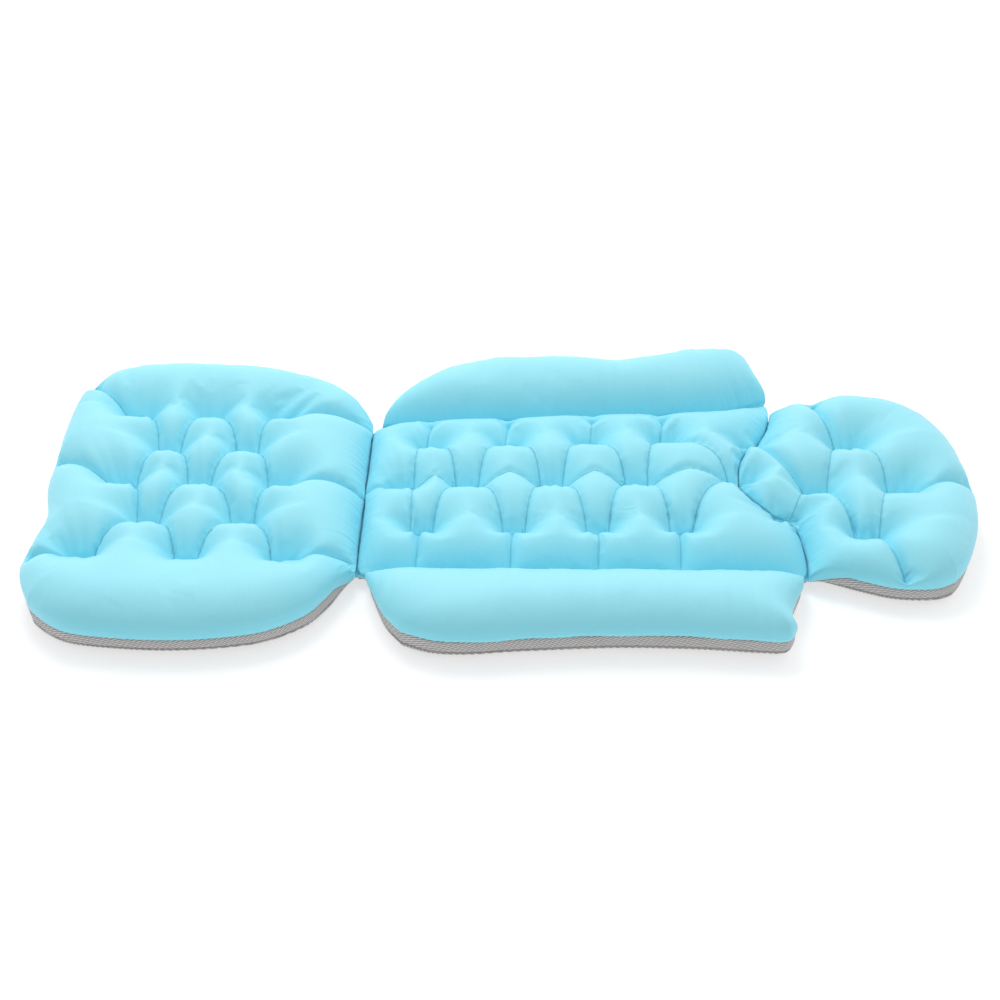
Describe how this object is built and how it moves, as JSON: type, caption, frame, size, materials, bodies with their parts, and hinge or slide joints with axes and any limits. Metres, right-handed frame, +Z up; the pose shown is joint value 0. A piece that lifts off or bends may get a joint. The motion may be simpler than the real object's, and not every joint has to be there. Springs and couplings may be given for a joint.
{
  "type": "padded bath mat with head pillow",
  "caption": "Full-length padded bath mat with a tufted seat and back, raised side bolsters and a built-in head pillow, on suction cups.",
  "frame": {"origin": "on the tub's floor under the middle of the whole mat", "axes": "+X from the seat to the head, +Y across the mat, +Z up"},
  "size_m": [1.245, 0.6038, 0.0817],
  "materials": {
    "polyester": "light cyan smooth woven polyester with a soft sheen",
    "air_mesh": "grey knitted 3-D air mesh",
    "fibre": "white hollow fibre",
    "thread": "cyan sewing thread and turned fabric",
    "tape": "grey woven tape",
    "clear_pvc": "clear soft PVC"
  },
  "bodies": {
    "seat": {"seat_cover": "polyester", "seat_filling": "fibre", "seat_mesh": "air_mesh", "seat_cup_1": "clear_pvc", "seat_cup_tab_1": "tape", "seat_cup_2": "clear_pvc", "seat_cup_tab_2": "tape", "seat_cup_3": "clear_pvc", "seat_cup_tab_3": "tape", "seat_cup_4": "clear_pvc", "seat_cup_tab_4": "tape", "seat_cup_5": "clear_pvc", "seat_cup_tab_5": "tape", "seat_cup_6": "clear_pvc", "seat_cup_tab_6": "tape"},
    "back": {"back_cover": "polyester", "back_filling": "fibre", "back_mesh": "air_mesh", "seat_fold_seam": "thread", "head_fold_seam": "thread", "right_bolster_seam": "thread", "left_bolster_seam": "thread", "back_cup_1": "clear_pvc", "back_cup_tab_1": "tape", "back_cup_2": "clear_pvc", "back_cup_tab_2": "tape", "back_cup_3": "clear_pvc", "back_cup_tab_3": "tape", "back_cup_4": "clear_pvc", "back_cup_tab_4": "tape"},
    "head": {"head_cover": "polyester", "head_filling": "fibre", "head_mesh": "air_mesh", "head_cup_1": "clear_pvc", "head_cup_tab_1": "tape", "head_cup_2": "clear_pvc", "head_cup_tab_2": "tape"},
    "right_bolster": {"right_bolster_cover": "polyester", "right_bolster_filling": "fibre", "right_bolster_mesh": "air_mesh", "right_bolster_cup_1": "clear_pvc", "right_bolster_cup_tab_1": "tape", "right_bolster_cup_2": "clear_pvc", "right_bolster_cup_tab_2": "tape"},
    "left_bolster": {"left_bolster_cover": "polyester", "left_bolster_filling": "fibre", "left_bolster_mesh": "air_mesh", "left_bolster_cup_1": "clear_pvc", "left_bolster_cup_tab_1": "tape", "left_bolster_cup_2": "clear_pvc", "left_bolster_cup_tab_2": "tape"},
    "loop": {"hanging_loop": "tape"}
  },
  "joints": [
    {"name": "seat_fold", "type": "hinge", "parent": "back", "child": "seat", "pos_m": [-0.20067, -0.00984, 0.0144], "axis": [0, 1, 0], "range_deg": [-90, 60]},
    {"name": "head_fold", "type": "hinge", "parent": "back", "child": "head", "pos_m": [0.36683, 0.01216, 0.0144], "axis": [0.0551, -0.9985, 0], "range_deg": [-90, 30]},
    {"name": "left_bolster_fold", "type": "hinge", "parent": "back", "child": "left_bolster", "pos_m": [0.08783, -0.16234, 0.0144], "axis": [-1, -0.0087, 0], "range_deg": [-45, 45]},
    {"name": "right_bolster_fold", "type": "hinge", "parent": "back", "child": "right_bolster", "pos_m": [0.07833, 0.16466, 0.0144], "axis": [0.9976, 0.0697, 0], "range_deg": [-45, 45]},
    {"name": "loop_swing", "type": "hinge", "parent": "head", "child": "loop", "pos_m": [0.60789, 0.01916, 0.01884], "axis": [0, -1, 0], "range_deg": [-40, 80]}
  ]
}
